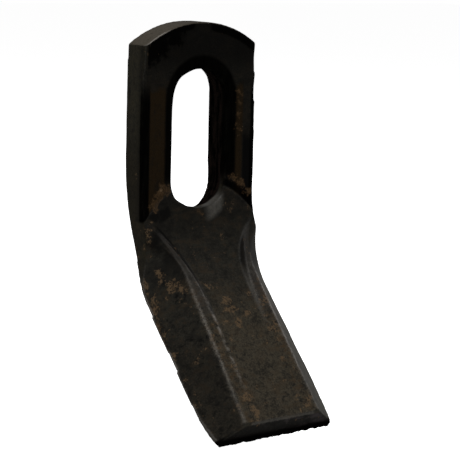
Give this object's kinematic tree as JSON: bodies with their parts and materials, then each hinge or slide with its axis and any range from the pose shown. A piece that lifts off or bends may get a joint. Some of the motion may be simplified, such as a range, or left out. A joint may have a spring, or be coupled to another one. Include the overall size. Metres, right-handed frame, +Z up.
{
  "type": "hedge cutter mulcher blade",
  "caption": "Forged flail blade for a hedge cutter or mulcher: slotted shank, cranked cutting end with bevelled sides.",
  "frame": {"origin": "middle of the fixing slot, on the back face of the shank", "axes": "+Z up the shank towards its crown, +Y out of the shank's back face; the cutting end is cranked down and forward towards -Y; X across the blade"},
  "size_m": [0.0556, 0.0648, 0.1425],
  "materials": {
    "forged_steel": "as forged, near-black oiled scale with brown oxide and a few rust spots"
  },
  "bodies": {
    "root": {"blade": "forged_steel"}
  },
  "joints": []
}
